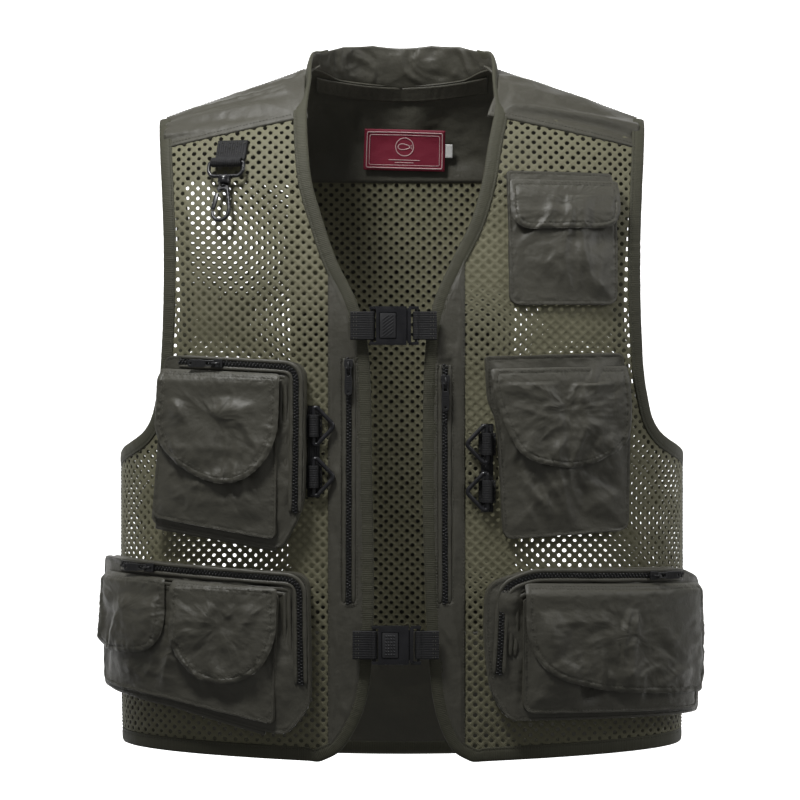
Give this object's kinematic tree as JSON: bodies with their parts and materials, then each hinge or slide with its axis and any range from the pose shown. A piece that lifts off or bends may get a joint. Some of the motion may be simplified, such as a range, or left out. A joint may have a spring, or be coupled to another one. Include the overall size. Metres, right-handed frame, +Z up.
{
  "type": "fishing vest",
  "caption": "Sleeveless mesh fishing vest with flapped cargo pockets, zips, webbing rings, a snap hook and side-release buckles across an open front.",
  "frame": {"origin": "between the two shoulders at the height of the base of the neck, where the worn vest hangs", "axes": "+Z up; the wearer faces -Y; +X is the wearer's left"},
  "size_m": [0.549, 0.2428, 0.6718],
  "materials": {
    "mesh_cloth": "knitted mesh with round holes",
    "nylon": "plain-woven nylon, soft satin, crumpled",
    "binding": "ribbed bias binding",
    "webbing": "woven webbing",
    "zip_chain": "nylon coil",
    "zip_metal": "black enamel",
    "zip_pull": "moulded, satin",
    "buckle_button": "textured grip",
    "hard_plastic": "moulded, satin"
  },
  "bodies": {
    "vest": {"chest_pocket": "nylon", "left_mid_pocket": "nylon", "right_mid_pocket": "nylon", "right_mid_patch": "nylon", "right_low_pocket": "nylon", "right_low_patch": "nylon", "left_low_pocket": "nylon", "left_low_patch": "nylon", "right_front_zip": "zip_chain", "left_front_zip": "zip_chain", "right_mid_zip": "zip_chain", "right_low_zip": "zip_chain", "left_low_zip": "zip_chain", "right_ring_webbing": "webbing", "left_ring_webbing": "webbing", "hook_strap": "webbing", "upper_buckle_socket": "hard_plastic", "upper_socket_strap": "webbing", "lower_buckle_socket": "hard_plastic", "lower_socket_strap": "webbing", "right_front_mesh": "mesh_cloth", "left_front_mesh": "mesh_cloth", "right_placket": "nylon", "left_placket": "nylon", "back_mesh": "mesh_cloth", "lower_back_panel": "nylon", "yoke": "nylon", "collar": "nylon", "edge_binding": "binding", "right_armhole_binding": "binding", "left_armhole_binding": "binding"},
    "chest_flap": {"chest_flap": "nylon"},
    "left_mid_flap": {"left_mid_flap": "nylon"},
    "right_mid_flap": {"right_mid_flap": "nylon"},
    "right_low_outer_flap": {"right_low_outer_flap": "nylon"},
    "right_low_inner_flap": {"right_low_inner_flap": "nylon"},
    "left_low_flap": {"left_low_flap": "nylon"},
    "right_front_slider": {"right_front_slider": "zip_metal"},
    "right_front_pull": {"right_front_pull": "zip_pull"},
    "left_front_slider": {"left_front_slider": "zip_metal"},
    "left_front_pull": {"left_front_pull": "zip_pull"},
    "right_mid_slider": {"right_mid_slider": "zip_metal"},
    "right_mid_pull": {"right_mid_pull": "zip_pull"},
    "right_low_slider": {"right_low_slider": "zip_metal"},
    "right_low_pull": {"right_low_pull": "zip_pull"},
    "left_low_slider": {"left_low_slider": "zip_metal"},
    "left_low_pull": {"left_low_pull": "zip_pull"},
    "right_upper_ring": {"right_upper_ring": "hard_plastic"},
    "right_lower_ring": {"right_lower_ring": "hard_plastic"},
    "left_upper_ring": {"left_upper_ring": "hard_plastic"},
    "left_lower_ring": {"left_lower_ring": "hard_plastic"},
    "hook_eye": {"hook_eye": "hard_plastic"},
    "snap_hook": {"snap_hook": "hard_plastic"},
    "hook_gate": {"hook_gate": "hard_plastic"},
    "upper_buckle_button": {"upper_buckle_button": "buckle_button"},
    "upper_buckle_tongue": {"upper_buckle_tongue": "hard_plastic", "upper_tongue_strap": "webbing"},
    "lower_buckle_button": {"lower_buckle_button": "buckle_button"},
    "lower_buckle_tongue": {"lower_buckle_tongue": "hard_plastic", "lower_tongue_strap": "webbing"}
  },
  "joints": [
    {"name": "chest_flap_hinge", "type": "hinge", "parent": "vest", "child": "chest_flap", "pos_m": [0.14475, -0.09414, -0.10221], "axis": [-0.9683, -0.2487, -0.0238], "range_deg": [0, 120]},
    {"name": "left_mid_flap_hinge", "type": "hinge", "parent": "vest", "child": "left_mid_flap", "pos_m": [0.14133, -0.11734, -0.27056], "axis": [-0.9707, -0.2385, -0.0307], "range_deg": [0, 120]},
    {"name": "right_mid_flap_hinge", "type": "hinge", "parent": "vest", "child": "right_mid_flap", "pos_m": [-0.16299, -0.12135, -0.27428], "axis": [-0.9484, 0.314, 0.0429], "range_deg": [0, 80]},
    {"name": "right_low_outer_flap_hinge", "type": "hinge", "parent": "vest", "child": "right_low_outer_flap", "pos_m": [-0.24609, -0.07611, -0.45467], "axis": [-0.7072, 0.7068, 0.0156], "range_deg": [0, 80]},
    {"name": "right_low_inner_flap_hinge", "type": "hinge", "parent": "vest", "child": "right_low_inner_flap", "pos_m": [-0.15864, -0.12319, -0.46185], "axis": [-0.9493, 0.3108, 0.0468], "range_deg": [0, 100]},
    {"name": "left_low_flap_hinge", "type": "hinge", "parent": "vest", "child": "left_low_flap", "pos_m": [0.19639, -0.10838, -0.46186], "axis": [-0.8895, -0.4569, 0.0023], "range_deg": [0, 80]},
    {"name": "right_front_slider_slide", "type": "slide", "parent": "vest", "child": "right_front_slider", "axis": [0, 0, -1], "range_m": [0, 0.2]},
    {"name": "right_front_pull_hinge", "type": "hinge", "parent": "right_front_slider", "child": "right_front_pull", "pos_m": [-0.04738, -0.12477, -0.2704], "axis": [-0.9987, 0.0502, -0.0087], "range_deg": [0, 150]},
    {"name": "left_front_slider_slide", "type": "slide", "parent": "vest", "child": "left_front_slider", "axis": [0, 0, -1], "range_m": [0, 0.186]},
    {"name": "left_front_pull_hinge", "type": "hinge", "parent": "left_front_slider", "child": "left_front_pull", "pos_m": [0.03829, -0.12517, -0.2844], "axis": [-0.9992, -0.0381, 0.0071], "range_deg": [0, 150]},
    {"name": "right_mid_slider_slide", "type": "slide", "parent": "vest", "child": "right_mid_slider", "axis": [0.9587, -0.2845, 0], "range_m": [0, 0.04]},
    {"name": "right_mid_pull_hinge", "type": "hinge", "parent": "right_mid_slider", "child": "right_mid_pull", "pos_m": [-0.16637, -0.12287, -0.26661], "axis": [-0.0024, -0.008, 1], "range_deg": [0, 150]},
    {"name": "right_low_slider_slide", "type": "slide", "parent": "vest", "child": "right_low_slider", "axis": [0.831, -0.5562, 0], "range_m": [0, 0.04]},
    {"name": "right_low_pull_hinge", "type": "hinge", "parent": "right_low_slider", "child": "right_low_pull", "pos_m": [-0.2289, -0.09324, -0.4483], "axis": [0, 0, 1], "range_deg": [0, 150]},
    {"name": "left_low_slider_slide", "type": "slide", "parent": "vest", "child": "left_low_slider", "axis": [-0.831, -0.5562, 0], "range_m": [0, 0.04]},
    {"name": "left_low_pull_hinge", "type": "hinge", "parent": "left_low_slider", "child": "left_low_pull", "pos_m": [0.2289, -0.09324, -0.4555], "axis": [0, 0, -1], "range_deg": [0, 150]},
    {"name": "right_upper_ring_hinge", "type": "hinge", "parent": "vest", "child": "right_upper_ring", "pos_m": [-0.07825, -0.12202, -0.322], "axis": [0, 0, -1], "range_deg": [0, 110]},
    {"name": "right_lower_ring_hinge", "type": "hinge", "parent": "vest", "child": "right_lower_ring", "pos_m": [-0.07825, -0.12202, -0.367], "axis": [0, 0, -1], "range_deg": [0, 110]},
    {"name": "left_upper_ring_hinge", "type": "hinge", "parent": "vest", "child": "left_upper_ring", "pos_m": [0.07521, -0.12231, -0.338], "axis": [0, 0, 1], "range_deg": [0, 110]},
    {"name": "left_lower_ring_hinge", "type": "hinge", "parent": "vest", "child": "left_lower_ring", "pos_m": [0.07521, -0.12231, -0.38], "axis": [0, 0, 1], "range_deg": [0, 110]},
    {"name": "hook_eye_hinge", "type": "hinge", "parent": "vest", "child": "hook_eye", "pos_m": [-0.15671, -0.08496, -0.08629], "axis": [-0.9558, 0.2941, 0], "range_deg": [0, 100]},
    {"name": "hook_swivel", "type": "hinge", "parent": "hook_eye", "child": "snap_hook", "pos_m": [-0.15872, -0.09149, -0.10509], "axis": [0.1005, 0.3268, 0.9397], "continuous": true},
    {"name": "hook_gate_hinge", "type": "hinge", "parent": "snap_hook", "child": "hook_gate", "pos_m": [-0.16508, -0.09379, -0.11627], "axis": [-0.2764, -0.8982, 0.3419], "range_deg": [0, 20], "stiffness_Nm_per_rad": 0.02},
    {"name": "upper_buckle_press", "type": "slide", "parent": "vest", "child": "upper_buckle_button", "axis": [0, 1, 0], "range_m": [0, 0.0015], "stiffness_N_per_m": 400},
    {"name": "upper_buckle_release", "type": "slide", "parent": "vest", "child": "upper_buckle_tongue", "axis": [1, 0, 0], "range_m": [0, 0.02]},
    {"name": "lower_buckle_press", "type": "slide", "parent": "vest", "child": "lower_buckle_button", "axis": [0, 1, 0], "range_m": [0, 0.0015], "stiffness_N_per_m": 400},
    {"name": "lower_buckle_release", "type": "slide", "parent": "vest", "child": "lower_buckle_tongue", "axis": [1, 0, 0], "range_m": [0, 0.02]}
  ]
}
